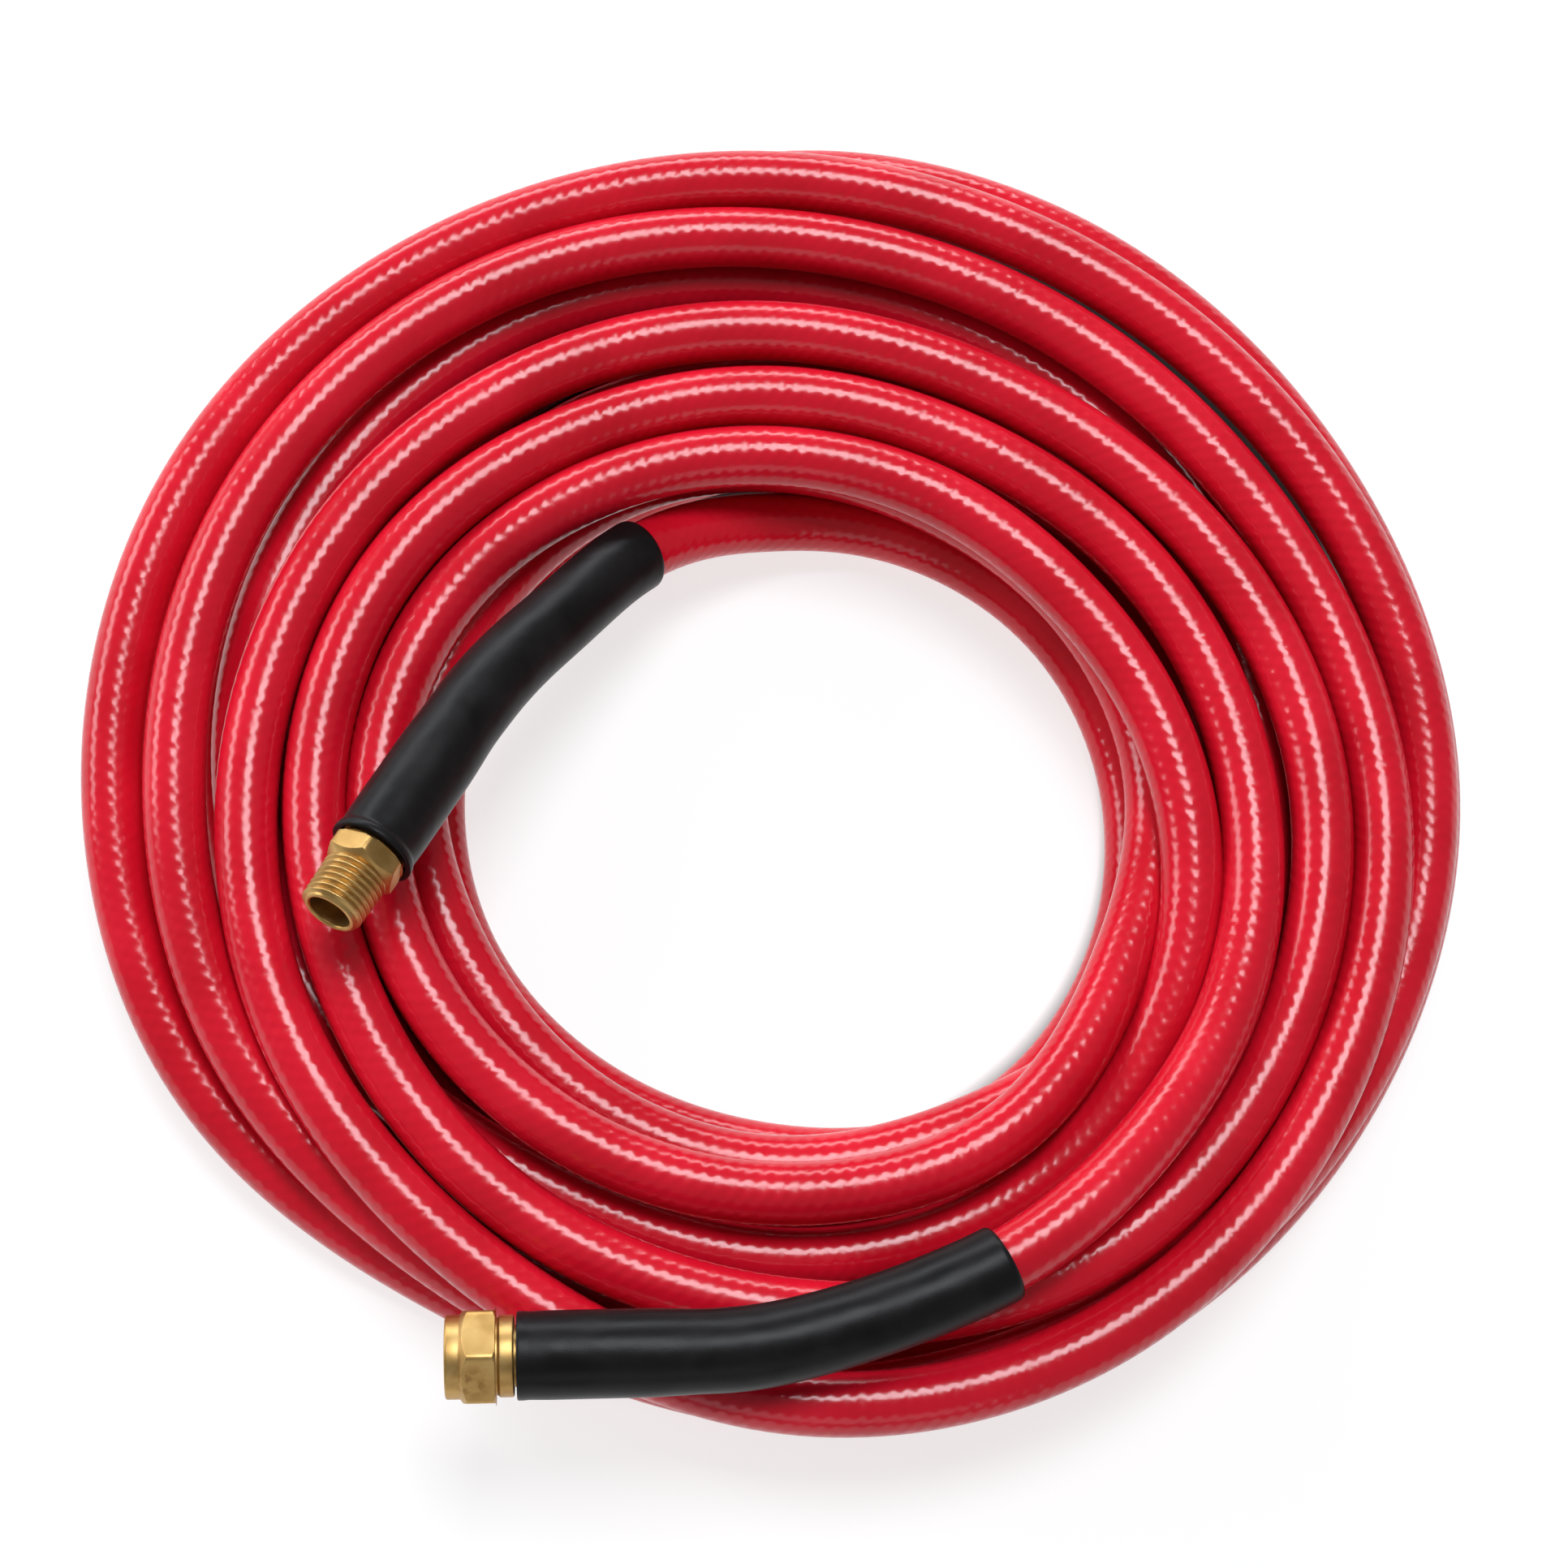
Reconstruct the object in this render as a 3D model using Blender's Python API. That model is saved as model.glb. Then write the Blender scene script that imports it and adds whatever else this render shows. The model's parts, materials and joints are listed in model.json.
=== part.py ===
"""A 7.6 m air hose, coiled, with a male pipe fitting at one end and a swivel nut at the other.

The coil lies flat: its rest face is on z = 0 and its centre is over the origin, with X along its
longer side. The pieces of each end are made about the X axis of an empty that points out of the
hose, with x = 0 at the outer face of the bend sleeve. The swivel nut has an empty of its own on
the axis that it turns about. All sizes are in metres.
"""

import math

import bmesh
import bpy
import numpy as np
from mathutils import Matrix, Vector

# The hose and its coil.
HOSE_RADIUS = 0.0065
LAYERS = 3
COIL_HEIGHT = LAYERS * 2 * HOSE_RADIUS
COIL_OUTER = (0.1478, 0.1423)  # half the length and half the width of the coil's outline
COIL_INNER = (0.0705, 0.0715)  # the same of the open middle
HOLE_SHIFT = -0.0020  # the open middle's centre lies this far along Y
COIL_CORNER = HOSE_RADIUS  # the coil's edges are as round as the turns that form them
GAP = 0.0003  # clearance between neighbouring pieces

# The wall of the hose, from the bore outwards, as (name, inner radius, outer radius).
HOSE_LAYERS = (
    ("hose_liner", 0.0042, 0.0049),
    ("hose_braid", 0.0052, 0.0055),
    ("hose_cover", 0.0058, HOSE_RADIUS),
)

# The crimped ferrule and the barb inside it, the same at both ends.
FERRULE_OUTER = 0.00735
FERRULE_INNER = 0.00680
FERRULE_LIP = 0.00480  # the lip that closes behind the stem's collar
FERRULE_FRONT = -0.0018
FERRULE_BACK = -0.0298
FERRULE_WALL = 0.0008
CRIMP_DEPTH = 0.00012
CRIMPS = 2
CRIMP_HALF = 0.22  # half of a crimped band's width, as a share of the distance between two
CRIMP_SLOPE = 0.08  # the width of the band's slopes, as the same share
BARB_CREST = 0.0039
BARB_ROOT = 0.0035
BARB_END = -0.0270
BARBS = 4
BARB_SLOPE = 0.85  # the share of a barb's length over which it rises
BARB_FREE = 0.0012  # plain length between the last barb and the lip
STEM_BORE = 0.0028
NECK = 0.0045
COLLAR = 0.0064
COLLAR_BACK = -0.0015
EDGE = 0.0003  # a small chamfer

# The bend sleeve: a rubber tube that is wider over the ferrule and thinner over the hose.
SLEEVE_LENGTH = 0.0980
SLEEVE_WIDE = 0.0085
SLEEVE_THIN = 0.0077
SLEEVE_SIDES = 24
SLEEVE_OVER_FERRULE = FERRULE_OUTER + GAP
SLEEVE_OVER_HOSE = HOSE_RADIUS + GAP + 0.0001

# The male stem: quarter inch tapered pipe thread and a 9/16 inch hexagon.
PITCH = 0.0254 / 18
THREAD_START = 0.0053
THREAD_END = 0.0160
THREAD_LEAD = 0.0006  # from the hexagon to the first groove
THREAD_TIP = 0.0010  # the plain tip in front of the last ridge
THREAD_AT_HEX = 0.00675  # crest radius by the hexagon
THREAD_TAPER = 1 / 32  # radius lost for each unit of length
THREAD_DEPTH = 0.0007
CREST_SHARE = 0.16  # the flat crest's share of the pitch
MALE_FLATS = 0.0143
MALE_SHANK = 0.0060  # the round body that the hexagon is formed on
MALE_HEX_HOLE = 0.0055
MALE_BORE = 0.0045
MALE_BORE_END = 0.0075
MALE_BORE_CONE = 0.0015  # the length over which the wide mouth narrows to the stem's bore

# Both hexagons are chamfered on a lathe, from just inside their flats.
HEX_CHAMFER_SLOPE = 1.2  # length of the chamfer for each unit of radius
HEX_RIM = 0.0002
HEX_SPARE = 0.0001

# The swivel nut: quarter inch straight pipe thread and an 11/16 inch hexagon.
NUT_BACK = 0.0005
NUT_FRONT = 0.0137
NUT_FLATS = 0.0175
NUT_HEX_BACK = 0.0040
NUT_HEX_FRONT = 0.0109
NUT_HEX_HOLE = 0.0070
NUT_BACK_COLLAR = 0.0078
NUT_FRONT_COLLAR = 0.0080
NUT_WAIST = 0.0074
NUT_WAIST_LENGTH = 0.0006
NUT_BORE = 0.0062
NUT_CREST = 0.00595  # the nut's thread measured at its crests
NUT_THREAD_BACK = 0.0070
NUT_MOUTH = 0.0010  # the length of the chamfer that leads into the thread
SWIVEL_BODY = NUT_BORE - GAP
NOSE_START = 0.0060
NOSE_END = 0.0090
NOSE_WIDE = 0.0052
NOSE_SLOPE = math.tan(math.radians(30))
RING_AT = 0.00305  # where the retaining ring lies along the axis
RING_RADIUS = 0.00605
RING_WIRE = 0.0005
RING_POINTS = 25
RING_SPLIT = 24  # the gap in the wire, in degrees
RING_GROOVE = 0.0017  # the width of the two grooves that the ring lies in
RING_CLEAR = 0.00085  # from the ring's centre line to the bottom of each groove

# Where each end lies: the middle of the sleeve's outer face, and the way that the fitting points.
MALE_SEAT = Vector((-0.0829, -0.0285, 0.0575))
MALE_OUT = Vector((-0.465, -0.838, 0.28)).normalized()
FEMALE_SEAT = Vector((-0.0523, -0.1259, 0.0505))
FEMALE_OUT = Vector((-1.0, -0.028, 0.0)).normalized()
MALE_TURN = math.radians(30.5)  # how far each hexagon is turned about its own axis
FEMALE_TURN = math.radians(24.5)

# The free stretch of hose at each end, from behind the ferrule to where it joins the coil.
MALE_ROUTE = (
    (-0.0600, 0.0117, 0.0434),
    (-0.0539, 0.0198, 0.0395),
    (-0.0481, 0.0267, 0.0356),
    (-0.0425, 0.0335, 0.0317),
    (-0.0372, 0.0397, 0.0284),
    (-0.0314, 0.0454, 0.0250),
    (-0.0254, 0.0499, 0.0217),
    (-0.0195, 0.0532, 0.0188),
    (-0.0136, 0.0556, 0.0162),
    (-0.0075, 0.0573, 0.0139),
    (-0.0004, 0.0586, 0.0118),
    (0.0077, 0.0594, 0.0102),
    (0.0168, 0.0592, 0.0089),
)
FEMALE_ROUTE = (
    (-0.0102, -0.1245, 0.0504),
    (0.0030, -0.1221, 0.0500),
    (0.0125, -0.1194, 0.0497),
    (0.0220, -0.1162, 0.0492),
    (0.0320, -0.1122, 0.0488),
    (0.0420, -0.1075, 0.0482),
    (0.0505, -0.1022, 0.0476),
    (0.0585, -0.0960, 0.0468),
)
STRAIGHT = 0.0350  # the ends run straight this far into the sleeve
ROUTE_STEP = 0.0068  # the distance between two points of a bent tube
FINE_STEPS = 40  # points worked out between two of the route's points

TURNED_STEPS = 24
COIL_STEPS = 60
COIL_CORNER_STEPS = 3
SHARP_ANGLE = math.radians(35)
BRASS = ((0.78, 0.50, 0.18), 0.28, 1.0)
RED_VINYL = ((0.58, 0.006, 0.020), 0.25, 0.0)
BLACK_RUBBER = ((0.012, 0.012, 0.013), 0.45, 0.0)
CREAM_BRAID = ((0.75, 0.72, 0.62), 0.70, 0.0)
CLEAR_LINER = ((0.20, 0.20, 0.21), 0.40, 0.0)


def clear_scene():
    for obj in list(bpy.data.objects):
        bpy.data.objects.remove(obj)


def material(name, look):
    colour, roughness, metallic = look
    made = bpy.data.materials.new(name)
    made.use_nodes = True
    shader = made.node_tree.nodes["Principled BSDF"]
    shader.inputs["Base Color"].default_value = (*colour, 1.0)
    shader.inputs["Roughness"].default_value = roughness
    shader.inputs["Metallic"].default_value = metallic
    return made


def add_object(name, data, look, parent=None):
    obj = bpy.data.objects.new(name, data)
    bpy.context.scene.collection.objects.link(obj)
    obj.parent = parent
    if data is not None:
        data.materials.append(material(name, look))
    return obj


def add_frame(name, seat, out, parent=None):
    """An empty at a fitting's seat whose X axis points out of the hose."""
    obj = bpy.data.objects.new(name, None)
    obj.empty_display_size = 0.01
    bpy.context.scene.collection.objects.link(obj)
    across = Vector((0.0, 0.0, 1.0)).cross(out).normalized()
    up = out.cross(across)
    turn = Matrix((out, across, up)).transposed().to_4x4()
    obj.matrix_world = Matrix.Translation(seat) @ turn
    obj.parent = parent
    return obj


def finish_mesh(bm, name):
    bmesh.ops.remove_doubles(bm, verts=bm.verts, dist=1e-7)
    bmesh.ops.recalc_face_normals(bm, faces=bm.faces)
    mesh = bpy.data.meshes.new(name)
    bm.to_mesh(mesh)
    bm.free()
    mesh.shade_smooth()
    mesh.set_sharp_from_angle(angle=SHARP_ANGLE)
    return mesh


def turned_mesh(name, outline):
    """The closed outline, as (x, radius) pairs, spun once about the X axis."""
    bm = bmesh.new()
    verts = [bm.verts.new((x, 0.0, radius)) for x, radius in outline]
    edges = [bm.edges.new((a, b)) for a, b in zip(verts, verts[1:] + verts[:1])]
    bmesh.ops.spin(
        bm,
        geom=verts + edges,
        cent=(0.0, 0.0, 0.0),
        axis=(1.0, 0.0, 0.0),
        angle=2 * math.pi,
        steps=TURNED_STEPS,
        use_merge=True,
    )
    return finish_mesh(bm, name)


def cutter(name, mesh, parent):
    obj = bpy.data.objects.new(name, mesh)
    bpy.context.scene.collection.objects.link(obj)
    obj.parent = parent
    obj.hide_render = True
    obj.display_type = "WIRE"
    return obj


def boolean(obj, operation, other):
    modifier = obj.modifiers.new(operation.title(), "BOOLEAN")
    modifier.operation = operation
    modifier.object = other
    modifier.solver = "EXACT"


def hexagon_ring(name, back, front, flats, hole, turn, parent):
    """A hexagon with turned chamfers and a round hole, to be joined to a turned body."""
    corner = flats / math.sqrt(3)
    widest = corner + HEX_SPARE
    rim = flats / 2 - HEX_RIM
    chamfer = (widest - rim) * HEX_CHAMFER_SLOPE
    outline = (
        (back, hole),
        (back, rim),
        (back + chamfer, widest),
        (front - chamfer, widest),
        (front, rim),
        (front, hole),
    )
    blank = cutter(name + "_blank", turned_mesh(name + "_blank", outline), parent)
    bm = bmesh.new()
    depth = (front - back) * 1.5
    bmesh.ops.create_cone(
        bm, cap_ends=True, segments=6, radius1=corner, radius2=corner, depth=depth
    )
    middle = Matrix.Translation(((back + front) / 2, 0.0, 0.0))
    bm.transform(middle @ Matrix.Rotation(turn, 4, "X") @ Matrix.Rotation(math.pi / 2, 4, "Y"))
    prism = cutter(name + "_prism", finish_mesh(bm, name + "_prism"), parent)
    boolean(blank, "INTERSECT", prism)
    return blank


def barb_outline():
    """The barb's outer line, from its free end to the neck: slopes that grip against pulling."""
    points = []
    run = (FERRULE_FRONT - FERRULE_WALL - BARB_FREE - BARB_END) / BARBS
    for i in range(BARBS):
        start = BARB_END + i * run
        points.append((start, BARB_ROOT))
        points.append((start + run * BARB_SLOPE, BARB_CREST))
    points.append((BARB_END + BARBS * run, BARB_ROOT))
    return points


def stem_back_outline():
    """From the barb's end to the front of the collar that the ferrule's lip holds on to."""
    neck_start = FERRULE_FRONT - FERRULE_WALL
    neck = [(neck_start, BARB_ROOT), (neck_start, NECK), (COLLAR_BACK, NECK)]
    return barb_outline() + neck + [(COLLAR_BACK, COLLAR)]


def male_thread_outline():
    """Tapered crests and roots from the hexagon to the chamfered tip."""
    points = []
    first = THREAD_START + THREAD_LEAD
    crests = int((THREAD_END - THREAD_START - THREAD_TIP) / PITCH)
    for i in range(crests):
        x = first + i * PITCH
        crest = THREAD_AT_HEX - (x - THREAD_START) * THREAD_TAPER
        points.append((x, crest - THREAD_DEPTH))
        points.append((x + PITCH * (1 - CREST_SHARE) / 2, crest))
        points.append((x + PITCH * (1 + CREST_SHARE) / 2, crest))
    tip = THREAD_AT_HEX - (THREAD_END - THREAD_START) * THREAD_TAPER - THREAD_DEPTH
    points.append((first + crests * PITCH, tip))
    points.append((THREAD_END, tip - EDGE))
    return points


def make_male_stem(frame):
    outline = stem_back_outline()
    outline += [(GAP, COLLAR), (GAP, MALE_SHANK), (THREAD_START, MALE_SHANK)]
    outline += male_thread_outline()
    outline += [
        (THREAD_END, MALE_BORE + EDGE),
        (THREAD_END - EDGE, MALE_BORE),
        (MALE_BORE_END, MALE_BORE),
        (MALE_BORE_END - MALE_BORE_CONE, STEM_BORE),
        (BARB_END, STEM_BORE),
    ]
    stem = add_object("male_stem", turned_mesh("male_stem", outline), BRASS, frame)
    hexagon = hexagon_ring(
        "male_hexagon", GAP * 2, THREAD_START, MALE_FLATS, MALE_HEX_HOLE, MALE_TURN, frame
    )
    boolean(stem, "UNION", hexagon)


def make_tailpiece(frame):
    groove = RING_GROOVE / 2
    floor = RING_RADIUS - RING_CLEAR
    outline = stem_back_outline()[:-1] + [
        (COLLAR_BACK, SWIVEL_BODY),
        (RING_AT - groove, SWIVEL_BODY),
        (RING_AT - groove, floor),
        (RING_AT + groove, floor),
        (RING_AT + groove, SWIVEL_BODY),
        (NOSE_START - EDGE, SWIVEL_BODY),
        (NOSE_START, NOSE_WIDE),
        (NOSE_END, NOSE_WIDE - (NOSE_END - NOSE_START) * NOSE_SLOPE),
        (NOSE_END, STEM_BORE + EDGE),
        (NOSE_END - EDGE, STEM_BORE),
        (BARB_END, STEM_BORE),
    ]
    mesh = turned_mesh("female_tailpiece", outline)
    add_object("female_tailpiece", mesh, BRASS, frame)


def nut_thread_outline():
    """The nut's inner line, from the mouth back to the plain bore."""
    first = NUT_FRONT - NUT_MOUTH
    points = [(NUT_FRONT, NUT_CREST + NUT_MOUTH)]
    turns = int((first - NUT_THREAD_BACK) / PITCH)
    for i in range(turns):
        x = first - i * PITCH
        points.append((x, NUT_CREST))
        points.append((x - PITCH * CREST_SHARE, NUT_CREST))
        points.append((x - PITCH * (1 + CREST_SHARE) / 2, NUT_CREST + THREAD_DEPTH))
    points.append((first - turns * PITCH, NUT_BORE))
    return points


def make_swivel_nut(frame):
    groove = RING_GROOVE / 2
    floor = RING_RADIUS + RING_CLEAR
    outline = [
        (NUT_BACK, NUT_BORE),
        (NUT_BACK, NUT_BACK_COLLAR - EDGE),
        (NUT_BACK + EDGE, NUT_BACK_COLLAR),
        (NUT_HEX_BACK - NUT_WAIST_LENGTH, NUT_BACK_COLLAR),
        (NUT_HEX_BACK - NUT_WAIST_LENGTH, NUT_WAIST),
        (NUT_HEX_FRONT, NUT_WAIST),
        (NUT_HEX_FRONT, NUT_FRONT_COLLAR),
        (NUT_FRONT - EDGE, NUT_FRONT_COLLAR),
        (NUT_FRONT, NUT_FRONT_COLLAR - EDGE),
    ]
    outline += nut_thread_outline()
    outline += [
        (RING_AT + groove, NUT_BORE),
        (RING_AT + groove, floor),
        (RING_AT - groove, floor),
        (RING_AT - groove, NUT_BORE),
    ]
    nut = add_object("swivel_nut", turned_mesh("swivel_nut", outline), BRASS, frame)
    hexagon = hexagon_ring(
        "nut_hexagon", NUT_HEX_BACK, NUT_HEX_FRONT, NUT_FLATS, NUT_HEX_HOLE, FEMALE_TURN, frame
    )
    boolean(nut, "UNION", hexagon)


def make_retaining_ring(frame):
    """An open wire ring, half in the nut's groove and half in the tailpiece's."""
    curve = bpy.data.curves.new("retaining_ring", "CURVE")
    curve.dimensions = "3D"
    curve.bevel_depth = RING_WIRE
    curve.bevel_resolution = 2
    curve.use_fill_caps = True
    spline = curve.splines.new("POLY")
    spline.points.add(RING_POINTS - 1)
    for i, point in enumerate(spline.points):
        share = i / (RING_POINTS - 1)
        angle = math.radians(RING_SPLIT / 2 + (360 - RING_SPLIT) * share)
        across = RING_RADIUS * math.sin(angle)
        up = RING_RADIUS * math.cos(angle)
        point.co = (RING_AT, across, up, 1.0)
    add_object("retaining_ring", curve, BRASS, frame)


def make_ferrule(name, frame):
    """The brass shell crimped round the hose, with the crimp's shallow bands."""
    outline = [(FERRULE_FRONT, FERRULE_LIP), (FERRULE_FRONT, FERRULE_OUTER - EDGE)]
    outline.append((FERRULE_FRONT - EDGE, FERRULE_OUTER))
    pitch = (FERRULE_FRONT - FERRULE_BACK) / (CRIMPS + 1)
    bottom = pitch * CRIMP_HALF
    top = bottom + pitch * CRIMP_SLOPE
    for i in range(1, CRIMPS + 1):
        middle = FERRULE_FRONT - i * pitch
        outline.append((middle + top, FERRULE_OUTER))
        outline.append((middle + bottom, FERRULE_OUTER - CRIMP_DEPTH))
        outline.append((middle - bottom, FERRULE_OUTER - CRIMP_DEPTH))
        outline.append((middle - top, FERRULE_OUTER))
    outline += [
        (FERRULE_BACK, FERRULE_OUTER),
        (FERRULE_BACK, FERRULE_INNER),
        (FERRULE_FRONT - FERRULE_WALL, FERRULE_INNER),
        (FERRULE_FRONT - FERRULE_WALL, FERRULE_LIP),
    ]
    add_object(name, turned_mesh(name, outline), BRASS, frame)


def make_hose_layers(end, frame):
    """The three layers of the hose wall where they are gripped between barb and ferrule."""
    looks = (CLEAR_LINER, CREAM_BRAID, RED_VINYL)
    front = FERRULE_FRONT - FERRULE_WALL - GAP
    for (layer, inner, outer), look in zip(HOSE_LAYERS, looks):
        name = f"{layer}_{end}"
        outline = ((front, inner), (front, outer), (FERRULE_BACK, outer), (FERRULE_BACK, inner))
        add_object(name, turned_mesh(name, outline), look, frame)


def spline_through(points, start_direction, step):
    """Evenly spaced points on the cubic spline that leaves the first point in a given direction."""
    p = np.array([tuple(point) for point in points])
    h = np.linalg.norm(np.diff(p, axis=0), axis=1)
    count = len(p)
    system = np.zeros((count, count))
    right = np.zeros((count, 3))
    system[0, :2] = (2 * h[0], h[0])
    right[0] = 6 * ((p[1] - p[0]) / h[0] - np.array(tuple(start_direction)))
    system[-1, -1] = 1.0
    for i in range(1, count - 1):
        system[i, i - 1 : i + 2] = (h[i - 1], 2 * (h[i - 1] + h[i]), h[i])
        right[i] = 6 * ((p[i + 1] - p[i]) / h[i] - (p[i] - p[i - 1]) / h[i - 1])
    bend = np.linalg.solve(system, right)
    fine = []
    for i in range(count - 1):
        for t in np.linspace(0.0, h[i], FINE_STEPS, endpoint=i == count - 2):
            a = h[i] - t
            fine.append(
                (bend[i] * a**3 + bend[i + 1] * t**3) / (6 * h[i])
                + (p[i] / h[i] - bend[i] * h[i] / 6) * a
                + (p[i + 1] / h[i] - bend[i + 1] * h[i] / 6) * t
            )
    fine = np.array(fine)
    along = np.concatenate([[0.0], np.cumsum(np.linalg.norm(np.diff(fine, axis=0), axis=1))])
    wanted = np.arange(0.0, along[-1], step)
    return [Vector([np.interp(w, along, fine[:, k]) for k in range(3)]) for w in wanted]


def free_route(seat, out, route):
    """The centre line from where the straight end stops to the coil."""
    start = seat - out * STRAIGHT
    return spline_through([start, *route], -out, ROUTE_STEP)


def make_tube(name, points, radius, look):
    curve = bpy.data.curves.new(name, "CURVE")
    curve.dimensions = "3D"
    curve.bevel_depth = radius
    curve.bevel_resolution = 2
    curve.use_fill_caps = True
    spline = curve.splines.new("POLY")
    spline.points.add(len(points) - 1)
    for place, point in zip(spline.points, points):
        place.co = (*point, 1.0)
    add_object(name, curve, look)


def sleeve_sections(seat, out, route):
    """(centre, direction, outer radius, inner radius) along the sleeve, from its outer face."""
    past_ferrule = GAP - FERRULE_BACK
    straight = (
        (0.0, SLEEVE_WIDE - EDGE, SLEEVE_OVER_FERRULE),
        (EDGE, SLEEVE_WIDE, SLEEVE_OVER_FERRULE),
        (past_ferrule, SLEEVE_WIDE, SLEEVE_OVER_FERRULE),
    )
    sections = [(seat - out * x, -out, outer, inner) for x, outer, inner in straight]
    last = round((SLEEVE_LENGTH - STRAIGHT) / ROUTE_STEP)
    line = [seat, *route]
    for i in range(last + 1):
        thinning = i / last
        outer = SLEEVE_WIDE + (SLEEVE_THIN - SLEEVE_WIDE) * thinning
        before, after = line[i + 1] - line[i], line[i + 2] - line[i + 1]
        direction = (before.normalized() + after.normalized()).normalized()
        sections.append((route[i], direction, outer, SLEEVE_OVER_HOSE))
    return sections


def make_sleeve(name, seat, out, route):
    """The bend sleeve, swept along the hose as one open-ended shell."""
    bm = bmesh.new()
    rings = []
    across = Vector((0.0, 0.0, 1.0)).cross(out).normalized()
    for centre, direction, outer, inner in sleeve_sections(seat, out, route):
        across = (across - direction * across.dot(direction)).normalized()
        up = direction.cross(across)
        pair = []
        for radius in (outer, inner):
            ring = []
            for i in range(SLEEVE_SIDES):
                angle = 2 * math.pi * i / SLEEVE_SIDES
                spoke = across * math.cos(angle) + up * math.sin(angle)
                ring.append(bm.verts.new(centre + spoke * radius))
            pair.append(ring)
        rings.append(pair)
    outer_line = [pair[0] for pair in rings]
    inner_line = [pair[1] for pair in rings]
    loop = outer_line + inner_line[::-1]
    for a, b in zip(loop, loop[1:] + loop[:1]):
        for i in range(SLEEVE_SIDES):
            j = (i + 1) % SLEEVE_SIDES
            bm.faces.new((a[i], a[j], b[j], b[i]))
    add_object(name, finish_mesh(bm, name), BLACK_RUBBER)


def make_coil():
    """The wound turns as one turned ring, with edges as round as the hose, squeezed to its oval."""
    outer_mean = COIL_OUTER[1]
    inner_mean = COIL_INNER[1]
    corners = (
        (inner_mean + COIL_CORNER, COIL_CORNER, 180),
        (outer_mean - COIL_CORNER, COIL_CORNER, 270),
        (outer_mean - COIL_CORNER, COIL_HEIGHT - COIL_CORNER, 0),
        (inner_mean + COIL_CORNER, COIL_HEIGHT - COIL_CORNER, 90),
    )
    bm = bmesh.new()
    verts = []
    for radius, height, start in corners:
        for i in range(COIL_CORNER_STEPS + 1):
            angle = math.radians(start + 90 * i / COIL_CORNER_STEPS)
            x = radius + COIL_CORNER * math.cos(angle)
            z = height + COIL_CORNER * math.sin(angle)
            verts.append(bm.verts.new((x, 0.0, z)))
    edges = [bm.edges.new((a, b)) for a, b in zip(verts, verts[1:] + verts[:1])]
    bmesh.ops.spin(
        bm,
        geom=verts + edges,
        cent=(0.0, 0.0, 0.0),
        axis=(0.0, 0.0, 1.0),
        angle=2 * math.pi,
        steps=COIL_STEPS,
        use_merge=True,
    )
    for vert in bm.verts:
        radius = math.hypot(vert.co.x, vert.co.y)
        share = (radius - inner_mean) / (outer_mean - inner_mean)
        longer = COIL_INNER[0] + share * (COIL_OUTER[0] - COIL_INNER[0])
        vert.co.x *= longer / radius
        vert.co.y += HOLE_SHIFT * (1 - share)
    add_object("hose_coil", finish_mesh(bm, "hose_coil"), RED_VINYL)


def make_end(end, seat, out, route_points):
    """The pieces that both ends have. Returns the empty that the end's own pieces hang from."""
    frame = add_frame(f"{end}_end_frame", seat, out)
    make_ferrule(f"ferrule_{end}", frame)
    make_hose_layers(end, frame)
    route = free_route(seat, out, route_points)
    make_sleeve(f"bend_sleeve_{end}", seat, out, route)
    behind_ferrule = seat + out * (FERRULE_BACK - GAP)
    make_tube(f"hose_tail_{end}", [behind_ferrule, *route], HOSE_RADIUS, RED_VINYL)
    return frame


clear_scene()
make_coil()
make_male_stem(make_end("male", MALE_SEAT, MALE_OUT, MALE_ROUTE))
female_frame = make_end("female", FEMALE_SEAT, FEMALE_OUT, FEMALE_ROUTE)
make_tailpiece(female_frame)
make_retaining_ring(female_frame)
make_swivel_nut(add_frame("nut_axis", FEMALE_SEAT, FEMALE_OUT))
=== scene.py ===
"""The looks of a coiled air hose with brass ends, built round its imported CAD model.

Everything is in metres, in the CAD frame. The hose is one tube on one smooth line, from the male
fitting through the wound turns to the swivel fitting. The pieces of each end are swept along that
end's own line, where the distance is 0 at the bend sleeve's outer face and grows into the hose.
"""

import json
import math

import bpy
import numpy as np
from mathutils import Matrix, Vector


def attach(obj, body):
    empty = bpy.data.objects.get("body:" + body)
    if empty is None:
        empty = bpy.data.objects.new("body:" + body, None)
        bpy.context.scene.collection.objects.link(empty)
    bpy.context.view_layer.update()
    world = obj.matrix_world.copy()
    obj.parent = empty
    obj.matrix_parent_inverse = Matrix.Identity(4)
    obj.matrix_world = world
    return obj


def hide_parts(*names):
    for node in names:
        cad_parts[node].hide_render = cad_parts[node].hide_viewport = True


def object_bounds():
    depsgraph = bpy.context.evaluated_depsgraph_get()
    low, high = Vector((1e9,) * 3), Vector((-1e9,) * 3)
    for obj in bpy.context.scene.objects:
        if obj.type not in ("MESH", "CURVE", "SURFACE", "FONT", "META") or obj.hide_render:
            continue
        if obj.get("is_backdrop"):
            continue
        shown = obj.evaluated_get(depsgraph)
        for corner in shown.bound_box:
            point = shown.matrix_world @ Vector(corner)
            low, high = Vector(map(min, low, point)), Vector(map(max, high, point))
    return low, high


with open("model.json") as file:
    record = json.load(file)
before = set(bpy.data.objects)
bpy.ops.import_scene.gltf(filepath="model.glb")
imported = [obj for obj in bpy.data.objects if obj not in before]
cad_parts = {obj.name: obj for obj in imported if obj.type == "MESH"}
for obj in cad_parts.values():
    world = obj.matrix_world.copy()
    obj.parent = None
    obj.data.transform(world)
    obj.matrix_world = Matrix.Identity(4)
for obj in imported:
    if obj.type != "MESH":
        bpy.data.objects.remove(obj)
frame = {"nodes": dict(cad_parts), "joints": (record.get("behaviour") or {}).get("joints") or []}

cad_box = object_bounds()

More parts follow.
